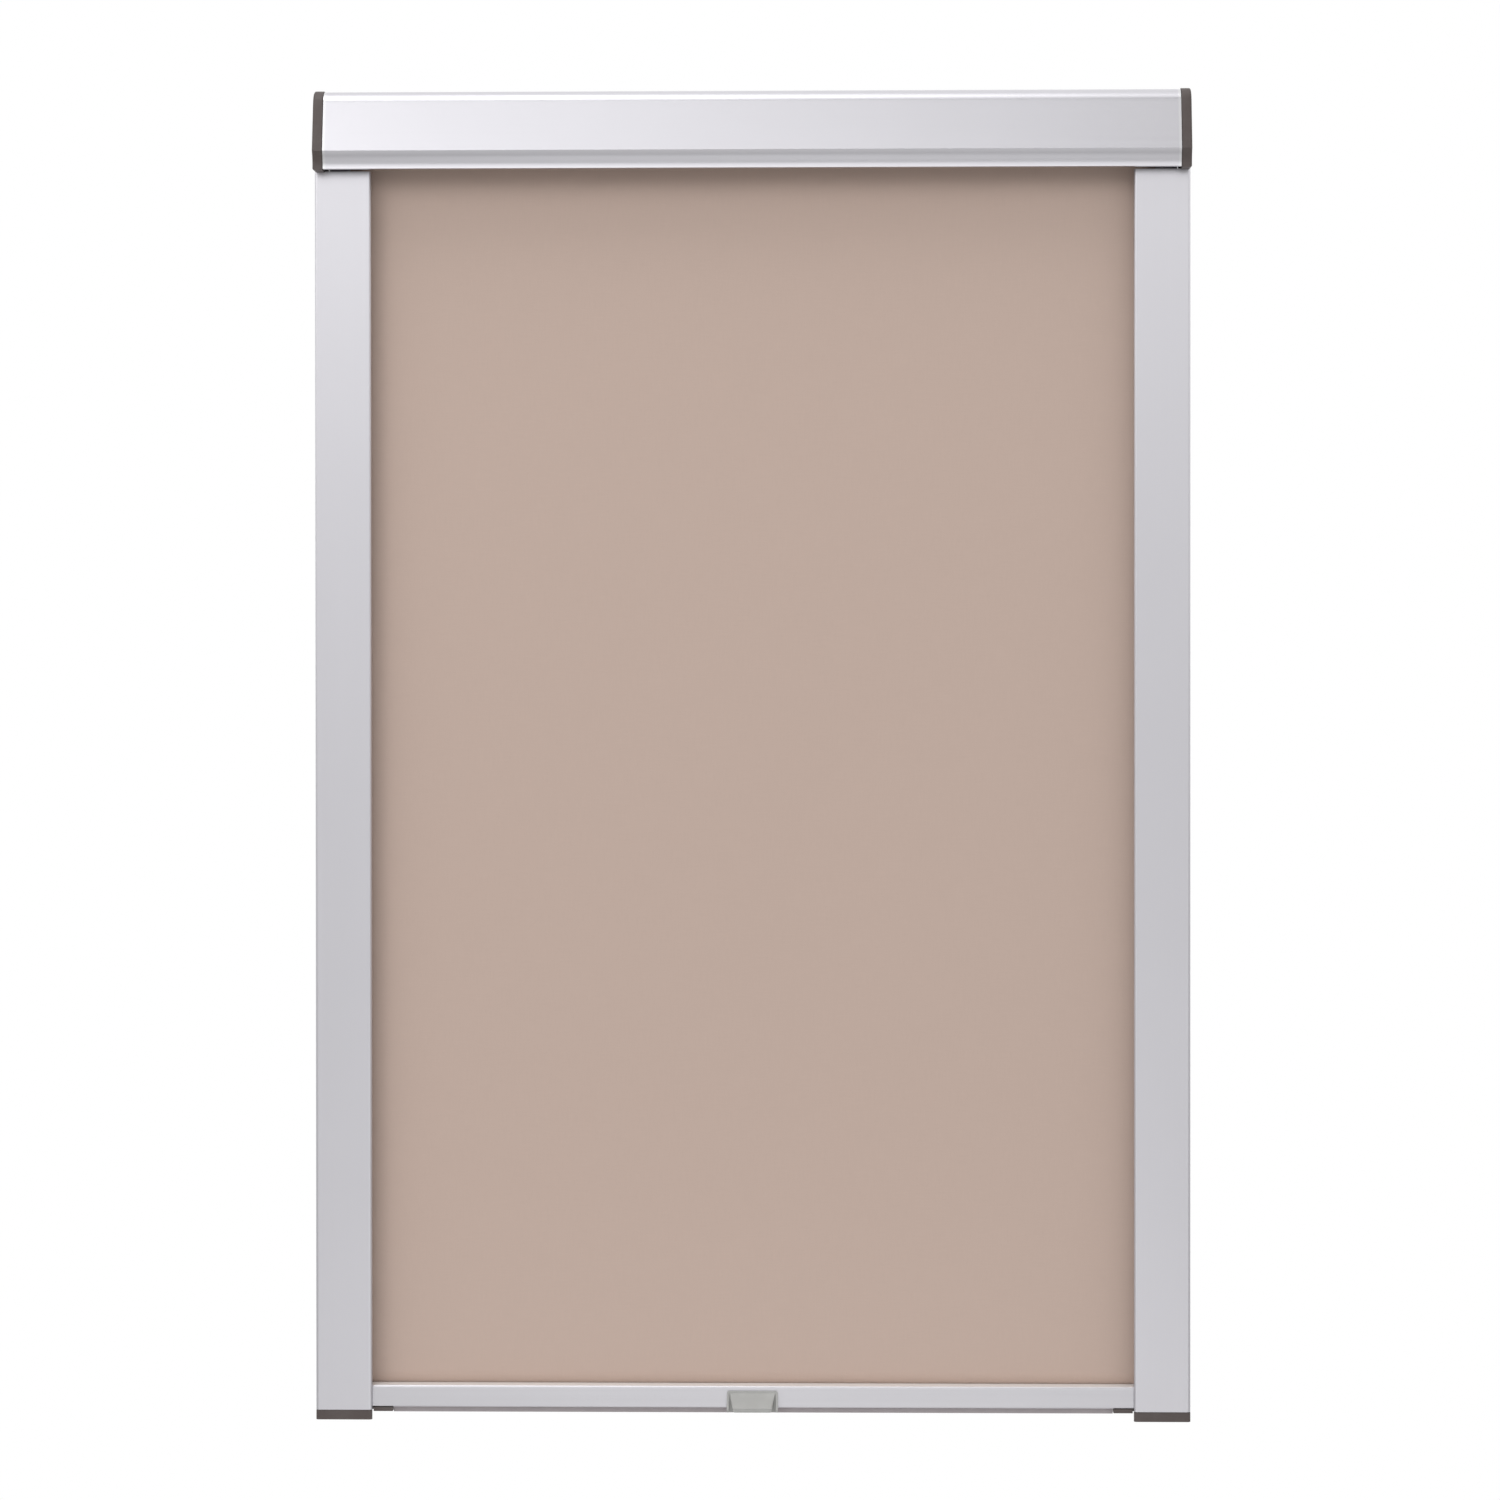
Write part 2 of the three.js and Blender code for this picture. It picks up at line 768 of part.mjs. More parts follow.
// Spring motor, about the roller's axis, from its still end near the right cap to its moving end
const shaftEnd = bossFace + shaftSeat;
const anchorFrom = tubeEnd - plugLength - anchorSetback - anchorLength;
const hubLength = hubTurns * coilPitch;
const springEnd = anchorFrom - fitGap;
const springStart = springEnd - coilTurns * coilPitch;
const driverTo = springStart - fitGap;
const driverFrom = driverTo - driverLength;

function springShaft() {
  const round = rod(shaftRadius, driverFrom - shaftOverhang, shaftEnd, smallSides);
  const reach = shaftRadius + cutOverrun;
  const flats = [[-reach, -shaftFlat / 2], [shaftFlat / 2, reach]].map(([left, right]) => (
    alongX(rectangle(left, right, -reach, reach), bossFace - fitGap, shaftEnd + cutOverrun)
  ));
  return cut(round, ...flats);
}

// A wire bent along points, with the ring across it carried along without twisting
function wireAlong(points) {
  const tangents = points.map((point, i) => {
    const ahead = points[Math.min(i + 1, points.length - 1)];
    const behind = points[Math.max(i - 1, 0)];
    return ahead.clone().sub(behind).normalize();
  });
  const across = new THREE.Vector3(1, 0, 0).cross(tangents[0]).normalize();
  const turn = new THREE.Quaternion();
  return points.map((point, i) => {
    if (i > 0) across.applyQuaternion(turn.setFromUnitVectors(tangents[i - 1], tangents[i]));
    const other = tangents[i].clone().cross(across);
    return circle([0, 0], wireRadius, wireSides).map(([a, b]) => (
      point.clone().addScaledVector(across, a).addScaledVector(other, b)
    ));
  });
}

function springPath() {
  const length = coilTurns * coilPitch - 2 * wireRadius;
  const steps = coilTurns * wireSteps;
  return Array.from({ length: steps + 1 }, (_, i) => {
    const angle = (2 * Math.PI * i) / wireSteps;
    const x = springStart + wireRadius + (length * i) / steps;
    return new THREE.Vector3(x, coilRadius * Math.cos(angle), coilRadius * Math.sin(angle));
  });
}

// The least gap between one turn of the spring and the next, measured on the path's points
function leastGap(points) {
  let least = Infinity;
  for (let i = 0; i < points.length; i += 1) {
    for (let j = i + wireSteps / 2; j < points.length; j += 1) {
      least = Math.min(least, points[i].distanceTo(points[j]));
    }
  }
  return least - 2 * wireRadius;
}

function torsionSpring() {
  const path = springPath();
  console.log(`least gap from the spring to itself: ${leastGap(path).toFixed(2)} mm`);
  const lid = THREE.ShapeUtils.triangulateShape(vectorsOf(circle([0, 0], wireRadius, wireSides)), []);
  return skinned(wireAlong(path), lid);
}

// The collar fixed to the shaft, with a hub that grips the spring's still end
function springAnchor() {
  const end = anchorFrom + anchorLength;
  const collar = rod(bearingRadius + collarWall, anchorFrom, end, smallSides);
  const hub = rod(hubRadius, springEnd - hubLength, anchorFrom + fitGap, smallSides);
  const bore = rod(bearingRadius, springEnd - hubLength - cutOverrun, end + cutOverrun, smallSides);
  return cut(join(collar, hub), bore);
}

// The keyed plug that turns with the tube, with a hub that grips the spring's moving end
function springDriver() {
  const hubEnd = springStart + hubLength;
  const body = alongX(plugSection(), driverFrom, driverTo);
  const hub = rod(hubRadius, driverTo - fitGap, hubEnd, smallSides);
  const bore = rod(bearingRadius, driverFrom - cutOverrun, hubEnd + cutOverrun, smallSides);
  return cut(join(body, hub), bore);
}

// Fabric: the free stretch, from the roll's tail to the stitched hem in the pull bar
function freeFabric() {
  const half = fabricThickness / 2;
  const bottom = barBottom + hemLevel + hemChannelRadius + fitGap;
  const top = rollerZ - rollTail - fitGap;
  return alongX(rectangle(fabricY - half, fabricY + half, bottom, top), -barEnd, barEnd);
}

// Pull bar, drawn with z at 0 on its underside

const sealMiddle = (chamberFront + chamberBack) / 2;

function barSection() {
  const neck = sealNeck / 2;
  const head = sealHead / 2;
  const slotHalf = hemSlot / 2;
  const slotAngle = Math.asin(slotHalf / hemChannelRadius);
  const slotRight = Math.PI / 2 - slotAngle;
  const slotLeft = slotAngle - 1.5 * Math.PI;
  const r = barEdgeRadius;
  const l = barLowerRadius;
  const sealTop = barWall + sealHeadHeight;
  return [
    ...arc([barFront + l, l], l, Math.PI, 1.5 * Math.PI, shortArcSteps),
    [sealMiddle - neck, 0],
    [sealMiddle - neck, barWall],
    [sealMiddle - head, barWall],
    [sealMiddle - head, sealTop],
    [sealMiddle + head, sealTop],
    [sealMiddle + head, barWall],
    [sealMiddle + neck, barWall],
    [sealMiddle + neck, 0],
    ...arc([barBack - l, l], l, 1.5 * Math.PI, 2 * Math.PI, shortArcSteps),
    ...arc([barBack - l, barHeight - l], l, 0, Math.PI / 2, shortArcSteps),
    [fabricY + slotHalf, barHeight],
    ...arc([fabricY, hemLevel], hemChannelRadius, slotRight, slotLeft, smallSides),
    [fabricY - slotHalf, barHeight],
    ...arc([barFront + r, barHeight - r], r, Math.PI / 2, Math.PI),
  ];
}

function barChamber(inset) {
  return rectangle(chamberFront + inset, chamberBack - inset, chamberFloor + inset, chamberTop - inset);
}

const gripTop = barHeight - gripInset;
const gripLow = gripTop - gripHeight;
const pegLevel = (chamberFloor + chamberTop) / 2;

function pegs(radius, from, to) {
  return [-1, 1].map((side) => alongY(
    circle([(side * pegSpacing) / 2, pegLevel], radius, smallSides),
    from,
    to,
  ));
}

function pullBar() {
  const rearChamber = rectangle(
    fabricY - hemChannelRadius,
    fabricY + hemChannelRadius,
    barWall,
    barWall + rearChamberHeight,
  );
  return cut(
    alongX(barSection(), -barEnd, barEnd),
    throughX(barChamber(0), barEnd),
    throughX(rearChamber, barEnd),
    ...pegs(pegRadius + fitGap, barFront - cutOverrun, chamberFront + fitGap),
  );
}

function hemRod() {
  return rod(hemRodRadius, -barEnd, barEnd, smallSides).translate(0, fabricY, hemLevel);
}

// The fabric's stitched hem: a loop round the rod with its stem in the bar's slot
function fabricHem() {
  const inner = hemRodRadius + fitGap;
  const outer = inner + fabricThickness;
  const half = Math.asin(fabricThickness / outer);
  const top = hemLevel + hemChannelRadius;
  const outline = [
    ...arc([fabricY, hemLevel], outer, Math.PI / 2 + half, 2.5 * Math.PI - half, smallSides),
    [fabricY + fabricThickness, top],
    [fabricY - fabricThickness, top],
  ];
  const tunnel = throughX(circle([fabricY, hemLevel], inner, smallSides), barEnd);
  return cut(alongX(outline, -barEnd, barEnd), tunnel);
}

// The lip that closes the gap under the bar
function barSeal() {
  const neck = sealNeck / 2 - fitGap;
  const head = sealHead / 2 - fitGap;
  const under = barWall + fitGap;
  const over = barWall + sealHeadHeight - fitGap;
  const outline = [
    [-neck, -sealDrop],
    [neck, -sealDrop],
    [neck, under],
    [head, under],
    [head, over],
    [-head, over],
    [-head, under],
    [-neck, under],
  ].map(([y, z]) => [sealMiddle + y, z]);
  return alongX(outline, fitGap - tongueEnd, tongueEnd - fitGap);
}

// Sliders and brakes, drawn for the right end

const brakeMiddle = (barHeight + sliderLow) / 2;
const grooveMiddle = -railDepth / 2;
const padOuter = grooveWeb - fitGap;
const padInner = padOuter - brakePadThickness;
const pocketFloor = padInner - brakeStripThickness - brakeStripBow - 2 * fitGap;

function padOutline(outset) {
  return roundedRectangle(
    grooveMiddle - brakePadWidth / 2 - outset,
    grooveMiddle + brakePadWidth / 2 + outset,
    brakeMiddle - brakePadHeight / 2 - outset,
    brakeMiddle + brakePadHeight / 2 + outset,
    Array(4).fill(brakePadCorner),
  );
}

// Slider: a head in the groove with the brake's pocket, a spigot in the bar and a tongue under it
function barSlider() {
  const edge = railWall + fitGap;
  const headOutline = roundedRectangle(
    edge - railDepth,
    -edge,
    sliderLow,
    barHeight,
    Array(4).fill(sliderCorner),
  );
  const inHead = barEnd + 2 * fitGap;
  const head = alongX(headOutline, barEnd + fitGap, sliderOuter);
  const spigot = alongX(barChamber(fitGap), barEnd - sliderSpigot, inHead);
  const tongue = alongX(rectangle(barFront, chamberBack, sliderLow, -fitGap), tongueEnd, inHead);
  const toe = alongX(
    rectangle(barFront, chamberBack, sliderLow - sliderToeDrop, sliderLow + fitGap),
    tongueEnd,
    railEdge - slideGap,
  );
  const pocket = alongX(padOutline(fitGap), pocketFloor, sliderOuter + cutOverrun);
  return cut(join(head, spigot, tongue, toe), pocket);
}

// A bowed spring strip between the pocket's floor and the pad
function brakeSpring() {
  const half = brakeStripSpan / 2;
  const radius = (half * half + brakeStripBow * brakeStripBow) / (2 * brakeStripBow);
  const reach = Math.asin(half / radius);
  const foot = pocketFloor + fitGap;
  const path = arc([foot + brakeStripBow - radius, brakeMiddle], radius, -reach, reach);
  return alongY(
    strip(path, -brakeStripThickness).reverse(),
    grooveMiddle - brakeStripWidth / 2,
    grooveMiddle + brakeStripWidth / 2,
  );
}

function brakePad() {
  return alongX(padOutline(0), padInner, padOuter);
}

// Pull grip: a plate on the bar's face with a nose that leans out towards its lower edge, between
// two cheeks

const plateFront = barFront - fitGap - gripPlate;

// The nose at one level: it leans out down to its chamfer and narrows down to its lower edge
const noseTop = gripTop - gripCorner;
const chamferTop = gripLow + noseChamfer;

function noseRing(z) {
  const narrowing = (noseTaper * (noseTop - z)) / (noseTop - gripLow);
  const half = gripWidth / 2 - noseSideStep - narrowing;
  const lean = (noseTop - Math.max(z, chamferTop)) / (noseTop - chamferTop);
  const tuck = Math.max(chamferTop - z, 0);
  const front = plateFront - noseStep - (noseReach - noseStep) * lean + tuck;
  const back = plateFront + gripPlate / 2;
  const r = Math.min(noseEdge, (back - front) / 2);
  const outline = roundedRectangle(-half, half, front, back, [r, r, 0, 0]);
  return outline.map(([x, y]) => new THREE.Vector3(x, y, z));
}

// The cheeks at the grip's sides; the nose narrows away from them and leaves a wedge open
function gripCheeks() {
  const r = cheekRounding;
  const back = plateFront + gripPlate / 2;
  const front = plateFront - cheekReach;
  const outline = [
    [back, gripLow + gripCorner],
    [back, noseTop],
    [plateFront, noseTop],
    ...arc([front + r, gripLow + r], r, Math.PI, 1.5 * Math.PI, shortArcSteps),
    [plateFront, gripLow],
  ];
  const half = gripWidth / 2;
  return [[-half, cheekWidth - half], [half - cheekWidth, half]].map(([from, to]) => (
    alongX(outline, from, to)
  ));
}

function pullGrip() {
  const plate = alongY(
    roundedRectangle(-gripWidth / 2, gripWidth / 2, gripLow, gripTop, Array(4).fill(gripCorner)),
    plateFront,
    barFront - fitGap,
  );
  const rings = [gripLow, chamferTop, noseTop].map(noseRing);
  const lid = THREE.ShapeUtils.triangulateShape(rings[0].map(({ x, y }) => new THREE.Vector2(x, y)), []);
  const back = pegs(pegRadius, barFront - 2 * fitGap, barFront + pegLength);
  return join(plate, skinned(rings, lid), ...gripCheeks(), ...back);
}

// Assembly

function named(name, geometry, material, place = [0, 0, 0]) {
  const mesh = new THREE.Mesh(geometry, material);
  mesh.name = name;
  mesh.position.set(...place);
  return mesh;
}

// One piece at each end, from the right one's geometry; the suffix tells several pairs apart
function pair(name, right, material, [x, y, z] = [0, 0, 0], suffix = '') {
  return [
    named(`${name}_left${suffix}`, mirrored(right), material(), [-x, y, z]),
    named(`${name}_right${suffix}`, right, material(), [x, y, z]),
  ];
}

const blind = new THREE.Group();

const headbox = new THREE.Group();
headbox.add(
  named('headbox_shell', headboxShell(), anodised()),
  named('headbox_cap_left', leftCap(), darkPlastic(), [-halfWidth, 0, 0]),
  named('headbox_cap_right', rightCap(), darkPlastic(), [halfWidth, 0, 0]),
  ...ports.flatMap(([y, z], i) => (
    pair('cap_screw', mirrored(capScrew()), steel, [halfWidth, y, z], `_${portNames[i]}`)
  )),
  ...pair('sash_bracket', mirrored(sashBracket()), steel, [halfWidth, 0, 0]),
);
blind.add(headbox);

const rails = new THREE.Group();
rails.add(
  ...pair('side_rail', mirrored(sideRail()), anodised, [halfWidth, 0, railBottom]),
  ...pair('rail_foot', mirrored(railFoot()), darkPlastic, [halfWidth, 0, floorLevel]),
);
blind.add(rails);

// The roller's idle end is on the left, so what is drawn for the right there is mirrored
const roller = new THREE.Group();
roller.position.set(0, rollerY, rollerZ);
roller.add(
  named('roller_tube', rollerTube(), anodised()),
  named('idle_plug', mirrored(endPlug(idlePinRadius + fitGap)), whitePlastic()),
  named('idle_pin', mirrored(idlePin()), steel()),
  named('idle_bush', mirrored(idleBush()), whitePlastic()),
  named('bearing_plug', endPlug(bearingRadius), whitePlastic()),
  named('fabric_lock_strip', lockStrip(), whitePlastic()),
  named('fabric_roll', fabricRoll(), beigeFabric()),
  named('spring_shaft', springShaft(), steel()),
  named('spring_anchor', springAnchor(), steel()),
  named('torsion_spring', torsionSpring(), steel()),
  named('spring_driver', springDriver(), whitePlastic()),
);
blind.add(roller);

blind.add(named('blackout_fabric', freeFabric(), beigeFabric()));

const bar = new THREE.Group();
bar.position.set(0, 0, barBottom);
bar.add(
  named('pull_bar', pullBar(), anodised()),
  named('hem_rod', hemRod(), steel()),
  named('fabric_hem', fabricHem(), beigeFabric()),
  named('bar_seal', barSeal(), greyRubber()),
  ...pair('bar_slider', barSlider(), darkPlastic),
  ...pair('brake_spring', brakeSpring(), steel),
  ...pair('brake_pad', brakePad(), greyFelt),
  named('pull_grip', pullGrip(), greyPlastic()),
);
blind.add(bar);

export default blind;
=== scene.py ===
"""A roller blind for a roof window: the looks of its pieces, dressed over the CAD frame.

Metres, in the frame's own axes: +Z is up the window, +Y points out through the glass, and the room
that the camera stands in is at -Y.
"""

import json
import math

import bpy
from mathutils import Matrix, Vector


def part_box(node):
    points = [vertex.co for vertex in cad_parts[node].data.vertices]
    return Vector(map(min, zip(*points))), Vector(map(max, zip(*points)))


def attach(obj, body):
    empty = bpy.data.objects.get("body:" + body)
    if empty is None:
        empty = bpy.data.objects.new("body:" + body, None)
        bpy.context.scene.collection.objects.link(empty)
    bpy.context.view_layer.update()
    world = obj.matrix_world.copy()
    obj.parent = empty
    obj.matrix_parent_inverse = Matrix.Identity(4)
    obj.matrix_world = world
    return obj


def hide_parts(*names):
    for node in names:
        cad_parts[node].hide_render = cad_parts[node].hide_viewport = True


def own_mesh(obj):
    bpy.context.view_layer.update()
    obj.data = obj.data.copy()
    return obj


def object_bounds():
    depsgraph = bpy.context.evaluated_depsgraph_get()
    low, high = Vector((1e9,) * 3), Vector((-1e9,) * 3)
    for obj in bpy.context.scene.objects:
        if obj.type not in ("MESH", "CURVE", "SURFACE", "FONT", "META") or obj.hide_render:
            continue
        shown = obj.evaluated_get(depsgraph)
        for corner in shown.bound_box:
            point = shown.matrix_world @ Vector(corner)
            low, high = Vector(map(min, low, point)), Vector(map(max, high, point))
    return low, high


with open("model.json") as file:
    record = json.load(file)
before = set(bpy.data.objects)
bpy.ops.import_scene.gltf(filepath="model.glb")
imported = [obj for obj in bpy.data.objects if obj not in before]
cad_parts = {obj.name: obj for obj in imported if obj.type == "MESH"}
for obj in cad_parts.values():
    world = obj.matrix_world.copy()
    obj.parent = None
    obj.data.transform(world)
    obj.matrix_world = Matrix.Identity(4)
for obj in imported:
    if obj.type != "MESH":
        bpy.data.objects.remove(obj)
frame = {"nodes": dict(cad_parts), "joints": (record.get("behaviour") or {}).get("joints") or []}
cad_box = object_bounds()
nodes = frame["nodes"]

MM = 0.001

# Camera: it stands a little right of the middle and looks back at the blind
CAMERA_X = 66.8 * MM
CAMERA_Y = -3000 * MM
CAMERA_Z = -414.2 * MM
CAMERA_YAW = math.radians(-1.313)
CAMERA_PITCH = math.radians(-0.361)
CAMERA_ROLL = math.radians(-0.034)
SENSOR = 36
FOCAL_LENGTH = 101.92

# Studio: how bright it is by elevation in degrees, on the side that the camera stands
STUDIO_LEVELS = (
    (-90, 1.0),
    (-40, 0.25),
    (-14, 0.45),
    (-8, 0.5),
    (-2, 0.27),
    (8, 1.3),
    (14, 1.4),
    (24, 0.5),
    (34, 0.05),
    (46, 0.45),
    (58, 0.9),
    (90, 0.9),
)
BACKDROP = (1.0, 1.0, 1.0)
BACKDROP_FROM = 0.1
BACKDROP_TO = 0.6

# Soft round lights: where each one stands and how wide it is, in metres, and its power in watts
LIGHT_AIM = (0, 0, -0.35)
SOFT_LIGHTS = {
    "left_light": ((-1.6, -2.6, 1.35), 1.8, 15),
    "front_light": ((-0.1, -3.0, 1.35), 1.5, 5.2),
    "top_light": ((-0.6, -1.0, 2.5), 1.8, 15),
    "low_light": ((0, -3.0, -1.6), 1.7, 5),
}
FLOOR_DROP = 450 * MM
FLOOR_RADIUS = 680 * MM
FLOOR_EDGE = 12 * MM
FLOOR_SIDES = 128
FLOOR_TONE = (0.86, 0.86, 0.86)
FLOOR_CLOUD = (0.89, 0.89, 0.89)
FLOOR_CLOUD_SIZE = 120 * MM

# Fabric
THREAD = 0.55 * MM
SLUB_LENGTH = 14 * MM
FABRIC_STEP = 12 * MM
FABRIC_WAVE = 0.15 * MM
FABRIC_WAVE_LENGTH = 210 * MM
FABRIC_SLANT = 350 * MM
ROLL_PITCH = 0.75 * MM
ROLL_TURNS = 2.25
ROLL_SIDES = 96
HEM_ROOM = 0.3 * MM
HEM_SIDES = 28

# Edges, and how wide each kind of piece has them rounded
SHARP_ANGLE = math.radians(28)
FLAT_ANGLE = math.radians(0.4)
WELD = 0.002 * MM
FLAT_WEIGHT = 100
EDGE_SEGMENTS = 2
SHELL_EDGE = 0.25 * MM
FOOT_EDGE = 0.2 * MM
SOFT_EDGE = 0.2 * MM
PLUG_EDGE = 0.15 * MM
PLATE_EDGE = 0.15 * MM
PIN_EDGE = 0.1 * MM
SHARP = 0

# Sockets of a Mix node that mixes colours, which share their names with its other sockets
MIX_FIRST = 6
MIX_SECOND = 7
MIX_RESULT = 2

# Where nearly all the values of a noise lie, between 0 and 1
NOISE_MIDDLE = (0.3, 0.7)


# Materials

def mixed_in(tree, share, first, second):
    """A colour between two others, each given as a colour or as the socket that makes it."""
    node = tree.nodes.new("ShaderNodeMix")
    node.data_type = "RGBA"
    tree.links.new(share, node.inputs["Factor"])
    for place, colour in ((MIX_FIRST, first), (MIX_SECOND, second)):
        if isinstance(colour, tuple):
            node.inputs[place].default_value = (*colour, 1.0)
        else:
            tree.links.new(colour, node.inputs[place])
    return node.outputs[MIX_RESULT]


class Finish:
    """A material made node by node round one Principled shader."""

    def __init__(self, name, roughness, metallic=0.0):
        self.material = bpy.data.materials.new(name)
        self.material.use_nodes = True
        self.tree = self.material.node_tree
        self.shader = self.tree.nodes["Principled BSDF"]
        self.shader.inputs["Roughness"].default_value = roughness
        self.shader.inputs["Metallic"].default_value = metallic
        self.place_by = "Object"

    def add(self, kind, **settings):
        node = self.tree.nodes.new(kind)
        for key, value in settings.items():
            setattr(node, key, value)
        return node

    def link(self, source, target):
        self.tree.links.new(source, target)

    def places(self):
        """Where a point of the surface is, in metres."""
        return self.add("ShaderNodeTexCoord").outputs[self.place_by]

    def place(self, axis):
        """Where a point of the surface is along one axis, in metres."""
        split = self.add("ShaderNodeSeparateXYZ")
        self.link(self.places(), split.inputs["Vector"])
        return split.outputs[axis]

    def noise(self, size, detail=2.0):
        """Noise from 0 to 1 whose patches have this size: one length, or one for each axis."""
        sizes = (size,) * 3 if isinstance(size, float) else size
        mapping = self.add("ShaderNodeMapping")
        mapping.inputs["Scale"].default_value = [1 / length for length in sizes]
        self.link(self.places(), mapping.inputs["Vector"])
        noise = self.add("ShaderNodeTexNoise")
        noise.inputs["Scale"].default_value = 1.0
        noise.inputs["Detail"].default_value = detail
        self.link(mapping.outputs["Vector"], noise.inputs["Vector"])
        return noise.outputs["Fac"]

    def stretched(self, value, low, high, to_low=0.0, to_high=1.0):
        """value from low to high, drawn out to run from to_low to to_high."""
        node = self.add("ShaderNodeMapRange")
        self.link(value, node.inputs["Value"])
        node.inputs["From Min"].default_value = low
        node.inputs["From Max"].default_value = high
        node.inputs["To Min"].default_value = to_low
        node.inputs["To Max"].default_value = to_high
        return node.outputs["Result"]

    def varied(self, noise, low, high):
        """The usual values of a noise, drawn out to run from low to high."""
        return self.stretched(noise, *NOISE_MIDDLE, low, high)

    def maths(self, operation, first, second=None):
        node = self.add("ShaderNodeMath", operation=operation)
        for socket, value in zip(node.inputs, (first, second)):
            if isinstance(value, (int, float)):
                socket.default_value = value
            elif value is not None:
                self.link(value, socket)
        return node.outputs["Value"]

    def mixed(self, share, first, second):
        return mixed_in(self.tree, share, first, second)

    def colour(self, socket):
        self.link(socket, self.shader.inputs["Base Color"])

    def roughness(self, socket):
        self.link(socket, self.shader.inputs["Roughness"])

    def relief(self, *layers):
        """Bumps on the surface, from (height socket, height in metres) pairs laid over each other."""
        normal = None
        for height, metres in layers:
            bump = self.add("ShaderNodeBump")
            bump.inputs["Strength"].default_value = 1.0
            bump.inputs["Distance"].default_value = metres
            self.link(height, bump.inputs["Height"])
            if normal is not None:
                self.link(normal, bump.inputs["Normal"])
            normal = bump.outputs["Normal"]
        self.link(normal, self.shader.inputs["Normal"])


ALUMINIUM_TONE = (0.72, 0.71, 0.747)
ALUMINIUM_CLOUD = (0.695, 0.685, 0.72)
BAR_TONE = (0.68, 0.67, 0.70)
BAR_CLOUD = (0.655, 0.645, 0.675)
BARE_TONE = (0.79, 0.785, 0.80)
# Painted highlight: the pale colour and the non-metallic finish given to the top of the pull bar
LEDGE_PAINTED_HIGHLIGHT = (0.93, 0.90, 0.88)
LEDGE_METAL = 0.0
LEDGE_EDGE = 0.7 * MM
DIE_LINE_LENGTH = 420 * MM
DIE_LINE_WIDTH = 0.9 * MM
DIE_LINE_DEPTH = 0.004 * MM
SATIN_GRAIN = 0.22 * MM
SATIN_DEPTH = 0.003 * MM
SATIN_ROUGHNESS = (0.33, 0.41)
ALUMINIUM_CLOUD_SIZE = 90 * MM
CUT_END = 2.4 * MM


def anodised(name, along, half_length=None, ledge=None, tones=(ALUMINIUM_TONE, ALUMINIUM_CLOUD)):
    """Satin anodised aluminium, with the die's faint lines along the extrusion (0 for x, 2 for z).

    Where half_length is given, the sawn ends are bright for the last millimetres. Where ledge is given,
    the last LEDGE_EDGE below that height is painted pale and made non-metallic: a painted highlight on
    the bar's top.
    """
    finish = Finish(name, roughness=0.36, metallic=1.0)
    sizes = [DIE_LINE_WIDTH] * 3
    sizes[along] = DIE_LINE_LENGTH
    lines = finish.noise(sizes, detail=3.0)
    clouds = finish.noise(ALUMINIUM_CLOUD_SIZE)
    grain = finish.noise(SATIN_GRAIN)
    tone = finish.mixed(clouds, *tones)
    if half_length is not None:
        from_middle = finish.maths("ABSOLUTE", finish.place("X"))
        near_end = finish.stretched(from_middle, half_length - CUT_END, half_length - CUT_END / 2)
        tone = finish.mixed(near_end, tone, BARE_TONE)
    if ledge is not None:
        # Painted highlight: the bar turns pale and non-metallic just below the ledge height
        height = finish.place("Z")
        painted_highlight_band = finish.stretched(height, ledge - LEDGE_EDGE, ledge)
        tone = finish.mixed(painted_highlight_band, tone, LEDGE_PAINTED_HIGHLIGHT)
        metal = finish.stretched(height, ledge - LEDGE_EDGE, ledge, 1.0, LEDGE_METAL)
        finish.link(metal, finish.shader.inputs["Metallic"])
    finish.colour(tone)
    finish.roughness(finish.varied(lines, *SATIN_ROUGHNESS))
    finish.relief((grain, SATIN_DEPTH), (lines, DIE_LINE_DEPTH))
    return finish.material


DARK_TONE = (0.098, 0.077, 0.072)
DARK_WORN = (0.118, 0.098, 0.092)
DARK_ROUGHNESS = 0.48
DARK_GRAIN = 0.45 * MM
GREY_TONE = (0.47, 0.47, 0.455)
GREY_WORN = (0.53, 0.53, 0.515)
GREY_ROUGHNESS = 0.42
GREY_GRAIN = 0.4 * MM
WHITE_TONE = (0.78, 0.77, 0.73)
WHITE_WORN = (0.84, 0.83, 0.80)
WHITE_ROUGHNESS = 0.4
WHITE_GRAIN = 0.5 * MM
RUBBED_SIZE = 18 * MM
RUBBED_FROM = 0.45
RUBBED_TO = 0.75
SPARK_DEPTH = 0.02 * MM
SPARK_SMOOTHER = 0.05
SPARK_ROUGHER = 0.06


def moulded(name, tone, worn, roughness, grain):
    """Moulded plastic with a fine spark-eroded grain and slightly paler rubbed patches."""
    finish = Finish(name, roughness)
    patches = finish.stretched(finish.noise(RUBBED_SIZE, detail=4.0), RUBBED_FROM, RUBBED_TO)
    speckle = finish.noise(grain)
    finish.colour(finish.mixed(patches, tone, worn))
    finish.roughness(finish.varied(speckle, roughness - SPARK_SMOOTHER, roughness + SPARK_ROUGHER))
    finish.relief((speckle, SPARK_DEPTH))
    return finish.material


STEEL_TONE = (0.62, 0.63, 0.65)
STEEL_CLOUD = (0.74, 0.74, 0.72)
STEEL_CLOUD_SIZE = 6 * MM
STEEL_ROUGHNESS = (0.24, 0.36)
DRAWING_MARK = (3 * MM, 0.15 * MM, 0.15 * MM)
DRAWING_DEPTH = 0.002 * MM


